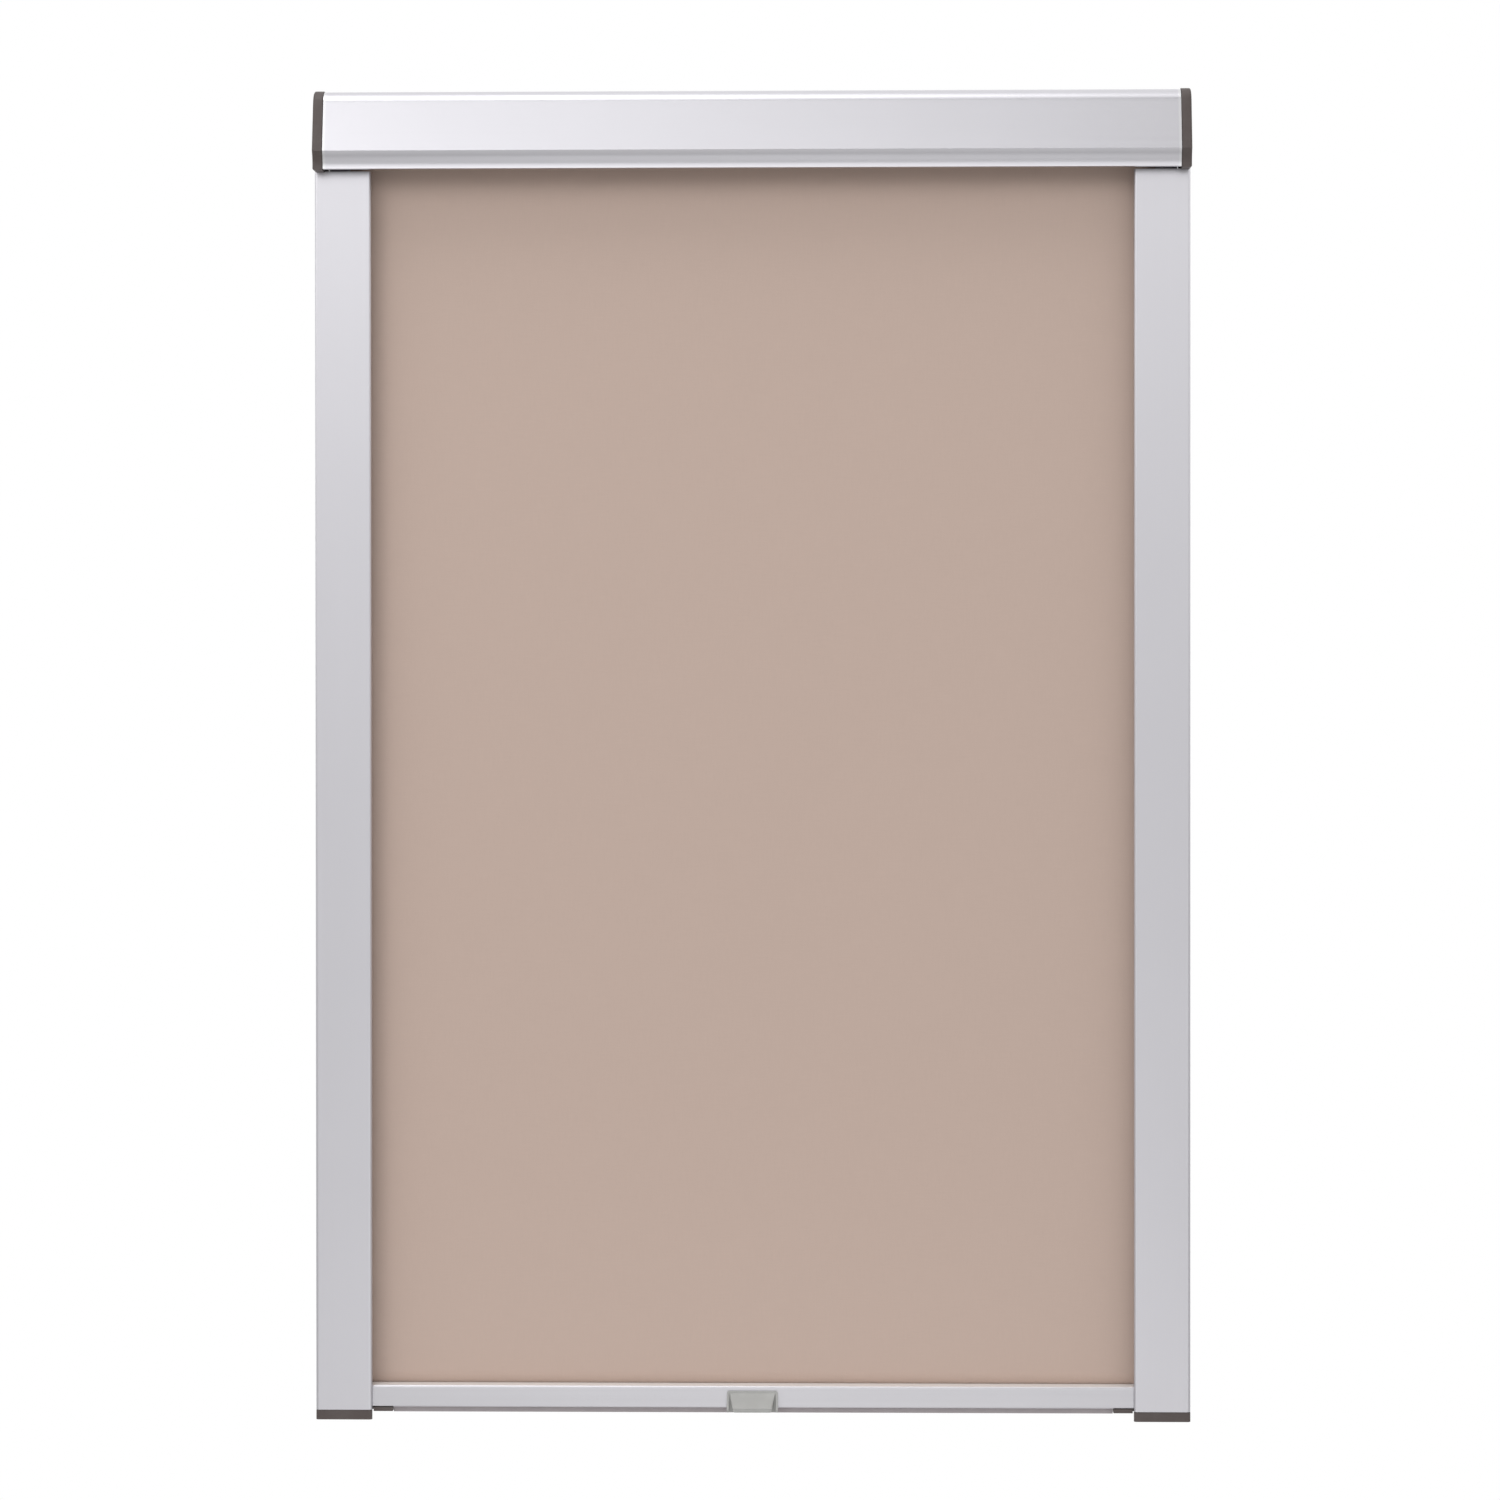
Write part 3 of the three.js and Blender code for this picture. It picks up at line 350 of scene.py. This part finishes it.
def plated_steel(name):
    """Zinc-plated steel with faint drawing marks and cloudy passivation."""
    finish = Finish(name, roughness=0.3, metallic=1.0)
    clouds = finish.noise(STEEL_CLOUD_SIZE, detail=4.0)
    marks = finish.noise(DRAWING_MARK)
    finish.colour(finish.mixed(clouds, STEEL_TONE, STEEL_CLOUD))
    finish.roughness(finish.varied(clouds, *STEEL_ROUGHNESS))
    finish.relief((marks, DRAWING_DEPTH))
    return finish.material


RUBBER_TONE = (0.40, 0.36, 0.375)
RUBBER_DUST = (0.47, 0.43, 0.44)
RUBBER_DUST_SIZE = 8 * MM
RUBBER_SKIN = 0.5 * MM
RUBBER_DEPTH = 0.015 * MM


def rubber(name):
    """Matt extruded rubber."""
    finish = Finish(name, roughness=0.75)
    dust = finish.noise(RUBBER_DUST_SIZE, detail=5.0)
    skin = finish.noise(RUBBER_SKIN)
    finish.colour(finish.mixed(dust, RUBBER_TONE, RUBBER_DUST))
    finish.relief((skin, RUBBER_DEPTH))
    return finish.material


FELT_SHADE = (0.13, 0.125, 0.12)
FELT_TONE = (0.25, 0.24, 0.23)
FIBRE = (0.12 * MM, 1.6 * MM, 0.4 * MM)
FIBRE_DEPTH = 0.12 * MM


def felt(name):
    """Short grey fibres pressed flat."""
    finish = Finish(name, roughness=0.95)
    fibres = finish.noise(FIBRE, detail=4.0)
    finish.colour(finish.mixed(fibres, FELT_SHADE, FELT_TONE))
    finish.relief((fibres, FIBRE_DEPTH))
    return finish.material


FABRIC_TONE = (0.705, 0.546, 0.467)
FABRIC_SHADE = (0.594, 0.456, 0.389)
FABRIC_SHEEN = 0.12
FABRIC_SHEEN_ROUGHNESS = 0.5
THREAD_SHARE = 0.55
THREAD_DEPTH = 0.03 * MM
YARN_SHARE = 0.45
YARN_DEPTH = 0.02 * MM
YARN_WIDTH = 1.5 * THREAD

# A wave texture runs through this many radians in each unit of its scale
WAVE_TEXTURE_RATE = 20


def weave(name):
    """Plain-woven yarn, laid out by the cloth's own map, which is in metres."""
    finish = Finish(name, roughness=0.85)
    finish.place_by = "UV"
    places = finish.places()
    bands = []
    for axis in ("X", "Y"):
        wave = finish.add("ShaderNodeTexWave", wave_type="BANDS", bands_direction=axis)
        wave.inputs["Scale"].default_value = 2 * math.pi / WAVE_TEXTURE_RATE / THREAD
        finish.link(places, wave.inputs["Vector"])
        bands.append(wave.outputs["Fac"])
    checker = finish.add("ShaderNodeTexChecker")
    checker.inputs["Scale"].default_value = 1 / THREAD
    shifted = finish.add("ShaderNodeMapping")
    shifted.inputs["Location"].default_value = (0, THREAD / 2, 0)
    finish.link(places, shifted.inputs["Vector"])
    finish.link(shifted.outputs["Vector"], checker.inputs["Vector"])
    over = finish.mixed(checker.outputs["Fac"], bands[0], bands[1])
    slubs = finish.noise((SLUB_LENGTH, YARN_WIDTH, THREAD))
    uprights = finish.noise((YARN_WIDTH, SLUB_LENGTH, THREAD))
    yarn = finish.maths("MULTIPLY", finish.maths("ADD", slubs, uprights), 0.5)
    by_thread = finish.maths("MULTIPLY", over, THREAD_SHARE)
    by_yarn = finish.maths("MULTIPLY", yarn, YARN_SHARE)
    finish.colour(finish.mixed(finish.maths("ADD", by_thread, by_yarn), FABRIC_SHADE, FABRIC_TONE))
    finish.shader.inputs["Sheen Weight"].default_value = FABRIC_SHEEN
    finish.shader.inputs["Sheen Roughness"].default_value = FABRIC_SHEEN_ROUGHNESS
    finish.relief((over, THREAD_DEPTH), (yarn, YARN_DEPTH))
    return finish.material


COATING_TONE = (0.78, 0.76, 0.73)
COATING_CLOUD = (0.72, 0.70, 0.67)
COATING_CLOUD_SIZE = 60 * MM
PORE = 0.4 * MM
PORE_DEPTH = 0.01 * MM


def coating(name):
    """The pale light-tight coating on the fabric's window side."""
    finish = Finish(name, roughness=0.6)
    pores = finish.noise(PORE, detail=3.0)
    clouds = finish.noise(COATING_CLOUD_SIZE)
    finish.colour(finish.mixed(clouds, COATING_TONE, COATING_CLOUD))
    finish.relief((pores, PORE_DEPTH))
    return finish.material


# Shapes

def smoothing_group():
    """Geometry nodes that shade a mesh smooth but for its edges sharper than SHARP_ANGLE."""
    group = bpy.data.node_groups.new("smooth_but_for_edges", "GeometryNodeTree")
    group.interface.new_socket("Geometry", in_out="INPUT", socket_type="NodeSocketGeometry")
    group.interface.new_socket("Geometry", in_out="OUTPUT", socket_type="NodeSocketGeometry")
    start = group.nodes.new("NodeGroupInput")
    end = group.nodes.new("NodeGroupOutput")
    angle = group.nodes.new("GeometryNodeInputMeshEdgeAngle")
    sharp = group.nodes.new("FunctionNodeCompare")
    sharp.operation = "GREATER_THAN"
    sharp.inputs[1].default_value = SHARP_ANGLE
    normals = group.nodes.new("GeometryNodeSetMeshNormal")
    normals.mode = "SHARPNESS"
    group.links.new(angle.outputs["Unsigned Angle"], sharp.inputs[0])
    group.links.new(start.outputs["Geometry"], normals.inputs["Mesh"])
    group.links.new(sharp.outputs["Result"], normals.inputs["Edge Sharpness"])
    group.links.new(normals.outputs["Mesh"], end.inputs["Geometry"])
    return group


smooth_but_for_edges = smoothing_group()


def eased(piece, width, joined):
    """Joins a piece's flat faces, shades its curves smooth, and rounds its hard edges by a width.

    A piece with edges shorter than the rounding is given SHARP, because the rounding would fold its
    faces over each other. A piece isn't joined where joining would leave an edge between four faces.
    """
    weld = piece.modifiers.new("weld", "WELD")
    weld.merge_threshold = WELD
    if joined:
        flat = piece.modifiers.new("join_flat_faces", "DECIMATE")
        flat.decimate_type = "DISSOLVE"
        flat.angle_limit = FLAT_ANGLE
    smooth = piece.modifiers.new("smooth", "NODES")
    smooth.node_group = smooth_but_for_edges
    if width > SHARP:
        bevel = piece.modifiers.new("ease", "BEVEL")
        bevel.width = width
        bevel.segments = EDGE_SEGMENTS
        bevel.limit_method = "ANGLE"
        bevel.angle_limit = SHARP_ANGLE
        bevel.harden_normals = True
        bevel.use_clamp_overlap = True
    level = piece.modifiers.new("keep_flat_faces_flat", "WEIGHTED_NORMAL")
    level.mode = "FACE_AREA"
    level.weight = FLAT_WEIGHT
    level.keep_sharp = True


def finished(names, material, width, joined=True):
    """Gives CAD pieces their material and their edges."""
    for name in names:
        piece = nodes[name]
        piece.material_slots[0].material = material
        eased(piece, width, joined)


# Pieces that keep their CAD shape, by material
shell_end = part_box("headbox_shell")[1].x
shell_finish = anodised("shell_aluminium", 0, half_length=shell_end)
bar_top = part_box("pull_bar")[1].z
bar_finish = anodised("bar_aluminium", 0, ledge=bar_top, tones=(BAR_TONE, BAR_CLOUD))
finished(["headbox_shell"], shell_finish, SHELL_EDGE)
finished(["pull_bar"], bar_finish, SHARP)
finished(["roller_tube"], anodised("tube_aluminium", 0), SHARP)
finished(["side_rail_left", "side_rail_right"], anodised("rail_aluminium", 2), SHARP)

dark = moulded("brown_grey_plastic", DARK_TONE, DARK_WORN, DARK_ROUGHNESS, DARK_GRAIN)
finished(["headbox_cap_left", "headbox_cap_right"], dark, SHARP, joined=False)
finished(["rail_foot_left", "rail_foot_right"], dark, FOOT_EDGE)
finished(["bar_slider_left", "bar_slider_right"], dark, SHARP)

grey = moulded("grey_plastic", GREY_TONE, GREY_WORN, GREY_ROUGHNESS, GREY_GRAIN)
finished(["pull_grip"], grey, SHARP)

white = moulded("white_plastic", WHITE_TONE, WHITE_WORN, WHITE_ROUGHNESS, WHITE_GRAIN)
white_pieces = ["idle_plug", "idle_bush", "bearing_plug", "fabric_lock_strip", "spring_driver"]
finished(white_pieces, white, PLUG_EDGE)

steel = plated_steel("plated_steel")
cap_screws = [f"cap_screw_{end}_{place}" for end in ("left", "right") for place in ("front", "back")]
finished(cap_screws, steel, PIN_EDGE)
finished(["sash_bracket_left", "sash_bracket_right"], steel, PLATE_EDGE)
finished(["idle_pin", "spring_anchor", "hem_rod"], steel, PIN_EDGE)
finished(["spring_shaft", "torsion_spring", "brake_spring_left", "brake_spring_right"], steel, SHARP)

finished(["bar_seal"], rubber("grey_rubber"), SOFT_EDGE)
finished(["brake_pad_left", "brake_pad_right"], felt("grey_felt"), SOFT_EDGE)


# Fabric

def sideways(line):
    """For each point of a line of (y, z) points, the unit vector across it."""
    across = []
    for i in range(len(line)):
        before = Vector(line[max(i - 1, 0)])
        after = Vector(line[min(i + 1, len(line) - 1)])
        ahead = (after - before).normalized()
        across.append(Vector((-ahead.y, ahead.x)))
    return across


def cloth(name, line, materials, ripple=None):
    """A thin sheet with both its faces, drawn from x to x along a line of (y, z) points.

    materials are those of the room side and of the window side, which is the side that a line going
    down has at +Y. Its UV map is in metres of cloth. ripple gives how far a point of it stands out.
    """
    columns = round((fabric_high.x - fabric_low.x) / FABRIC_STEP)
    half = (fabric_high.y - fabric_low.y) / 2
    across = sideways(line)
    run = [0.0]
    for before, after in zip(line, line[1:]):
        run.append(run[-1] + math.dist(before, after))
    points, spots = [], []
    for side in (-1, 1):
        for (y, z), normal, along in zip(line, across, run):
            for column in range(columns + 1):
                share = column / columns
                x = fabric_low.x + (fabric_high.x - fabric_low.x) * share
                out = side * half + (ripple(x, share, along / run[-1]) if ripple else 0)
                points.append((x, y + normal.x * out, z + normal.y * out))
                spots.append((x, -along))
    faces, indices = cloth_faces(columns, len(line) - 1)
    piece = mesh_piece(name, points, faces, materials, indices)
    layer = piece.data.uv_layers.new(name="cloth")
    for loop in piece.data.loops:
        layer.uv[loop.index].vector = spots[loop.vertex_index]
    return piece, run[-1]


def cloth_faces(columns, rows):
    """Quads over both faces of a sheet and round its rim, and a material index for each."""
    back_start = (columns + 1) * (rows + 1)

    def corner(row, column):
        return row * (columns + 1) + column

    faces, indices = [], []
    for row in range(rows):
        for column in range(columns):
            around = (
                corner(row, column),
                corner(row + 1, column),
                corner(row + 1, column + 1),
                corner(row, column + 1),
            )
            faces.append(around)
            faces.append(tuple(i + back_start for i in reversed(around)))
            indices += [0, 1]
    rim = [corner(0, column) for column in range(columns)]
    rim += [corner(row, columns) for row in range(rows)]
    rim += [corner(rows, column) for column in range(columns, 0, -1)]
    rim += [corner(row, 0) for row in range(rows, 0, -1)]
    for a, b in zip(rim, rim[1:] + rim[:1]):
        faces.append((a, b, b + back_start, a + back_start))
        indices.append(0)
    return faces, indices


def mesh_piece(name, points, faces, materials, indices=None, smooth=True):
    """A new object; indices give each face's material."""
    mesh = bpy.data.meshes.new(name)
    mesh.from_pydata(points, [], faces)
    for material in materials:
        mesh.materials.append(material)
    if indices is not None:
        mesh.polygons.foreach_set("material_index", indices)
    if smooth:
        mesh.polygons.foreach_set("use_smooth", [True] * len(mesh.polygons))
    mesh.update()
    piece = bpy.data.objects.new(name, mesh)
    bpy.context.scene.collection.objects.link(piece)
    return piece


def joint(name):
    return next(j for j in frame["joints"] if j["name"] == name)


woven = weave("beige_weave")
coated = coating("window_side_coating")
fabric_low, fabric_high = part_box("blackout_fabric")
fabric_y = (fabric_low.y + fabric_high.y) / 2
fabric_thickness = fabric_high.y - fabric_low.y
spin_centre = Vector(joint("roller_spin")["pos_m"])
rod_low, rod_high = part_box("hem_rod")


def free_fabric():
    """The stretch between the roll and the pull bar."""
    rows = round((fabric_high.z - fabric_low.z) / FABRIC_STEP)
    fall = fabric_low.z - fabric_high.z
    line = [(fabric_y, fabric_high.z + fall * row / rows) for row in range(rows + 1)]

    def ripple(x, across, down):
        room = math.sin(math.pi * across) * math.sin(math.pi * down)
        return FABRIC_WAVE * room * math.sin(2 * math.pi * (x + down * FABRIC_SLANT) / FABRIC_WAVE_LENGTH)

    piece, length = cloth("fabric_sheet", line, [woven, coated], ripple)
    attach(piece, "root")
    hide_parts("blackout_fabric")
    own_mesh(piece)
    return piece, length


def wound_fabric():
    """The turns that stay on the tube, from the keyway out to the tail where the fabric leaves."""
    radius = fabric_y - spin_centre.y
    steps = round(ROLL_TURNS * ROLL_SIDES)
    line = []
    for i in range(steps, -1, -1):
        turn = i / ROLL_SIDES
        reach = radius - ROLL_PITCH * turn
        angle = 2 * math.pi * turn
        y = spin_centre.y + reach * math.cos(angle)
        z = spin_centre.z + reach * math.sin(angle)
        line.append((y, z))
    line.append((fabric_y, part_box("blackout_fabric")[1].z))
    piece, length = cloth("fabric_roll_turns", line, [woven, coated])
    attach(piece, "roller")
    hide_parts("fabric_roll")
    return piece, length


def stitched_hem():
    """The fabric's lower end, folded round the hem rod towards the window and sewn to itself."""
    centre = Vector(((rod_low.y + rod_high.y) / 2, (rod_low.z + rod_high.z) / 2))
    loop = (rod_high.z - rod_low.z) / 2 + HEM_ROOM + fabric_thickness / 2
    stem = fabric_thickness / 2
    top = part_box("fabric_hem")[1].z - centre.y
    leaves = math.atan2(stem, top) + math.acos(loop / math.hypot(stem, top))
    line = [(centre.x - stem, centre.y + top)]
    for i in range(HEM_SIDES + 1):
        angle = leaves + (2 * math.pi - 2 * leaves) * i / HEM_SIDES
        line.append((centre.x - loop * math.sin(angle), centre.y + loop * math.cos(angle)))
    line.append((centre.x + stem, centre.y + top))
    piece, length = cloth("sewn_hem", line, [woven, coated])
    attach(piece, "bar")
    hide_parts("fabric_hem")
    return piece, length


sheets = [
    (*free_fabric(), ["roller_tube", "pull_bar"], "stretched"),
    (*wound_fabric(), ["roller_tube"], "stretched"),
    (*stitched_hem(), ["hem_rod"], "folded"),
]


# Camera, lights and floor

def camera():
    data = bpy.data.cameras.new("camera")
    data.sensor_fit = "HORIZONTAL"
    data.sensor_width = SENSOR
    data.lens = FOCAL_LENGTH
    piece = bpy.data.objects.new("camera", data)
    piece.location = (CAMERA_X, CAMERA_Y, CAMERA_Z)
    piece.rotation_euler = (math.pi / 2 + CAMERA_PITCH, -CAMERA_ROLL, -CAMERA_YAW)
    bpy.context.scene.collection.objects.link(piece)
    bpy.context.scene.camera = piece


def soft_light(name, place, width, power):
    data = bpy.data.lights.new(name, "AREA")
    data.shape = "DISK"
    data.size = width
    data.energy = power
    piece = bpy.data.objects.new(name, data)
    piece.location = place
    aim = Vector(LIGHT_AIM) - Vector(place)
    piece.rotation_euler = aim.to_track_quat("-Z", "Y").to_euler()
    bpy.context.scene.collection.objects.link(piece)


def studio():
    """Soft light all round: by elevation on the camera's side, and evenly pale behind the blind.

    Seen straight on, from any side, it is one plain pale backdrop.
    """
    world = bpy.data.worlds.new("studio")
    world.use_nodes = True
    tree = world.node_tree
    direction = tree.nodes.new("ShaderNodeTexCoord")
    split = tree.nodes.new("ShaderNodeSeparateXYZ")
    tree.links.new(direction.outputs["Generated"], split.inputs["Vector"])
    height = tree.nodes.new("ShaderNodeMapRange")
    height.inputs["From Min"].default_value = -1
    tree.links.new(split.outputs["Z"], height.inputs["Value"])
    levels = tree.nodes.new("ShaderNodeValToRGB")
    stops = levels.color_ramp.elements
    while len(stops) < len(STUDIO_LEVELS):
        stops.new(1)
    for stop, (elevation, level) in zip(stops, STUDIO_LEVELS):
        stop.position = (1 + math.sin(math.radians(elevation))) / 2
        stop.color = (level, level, level, 1)
    tree.links.new(height.outputs["Result"], levels.inputs["Fac"])
    behind = tree.nodes.new("ShaderNodeMapRange")
    behind.interpolation_type = "SMOOTHSTEP"
    behind.inputs["From Min"].default_value = BACKDROP_FROM
    behind.inputs["From Max"].default_value = BACKDROP_TO
    tree.links.new(split.outputs["Y"], behind.inputs["Value"])
    all_round = mixed_in(tree, behind.outputs["Result"], levels.outputs["Color"], BACKDROP)
    rays = tree.nodes.new("ShaderNodeLightPath")
    seen = mixed_in(tree, rays.outputs["Is Camera Ray"], all_round, BACKDROP)
    tree.links.new(seen, tree.nodes["Background"].inputs["Color"])
    bpy.context.scene.world = world


def floor():
    """A round pale floor under the blind."""
    z = cad_box[0][2] - FLOOR_DROP
    radii = (FLOOR_RADIUS - FLOOR_EDGE, FLOOR_RADIUS)
    points = []
    for radius, drop in zip(radii, (0, FLOOR_EDGE)):
        for i in range(FLOOR_SIDES):
            angle = 2 * math.pi * i / FLOOR_SIDES
            points.append((radius * math.cos(angle), radius * math.sin(angle), z - drop))
    faces = [tuple(range(FLOOR_SIDES))]
    for i in range(FLOOR_SIDES):
        j = (i + 1) % FLOOR_SIDES
        faces.append((i, i + FLOOR_SIDES, j + FLOOR_SIDES, j))
    finish = Finish("floor_paint", roughness=0.8)
    finish.colour(finish.mixed(finish.noise(FLOOR_CLOUD_SIZE), FLOOR_TONE, FLOOR_CLOUD))
    mesh_piece("floor", points, faces, [finish.material], smooth=False)


camera()
for name, (place, width, power) in SOFT_LIGHTS.items():
    soft_light(name, place, width, power)
studio()
floor()
bpy.context.scene.view_settings.view_transform = "Standard"
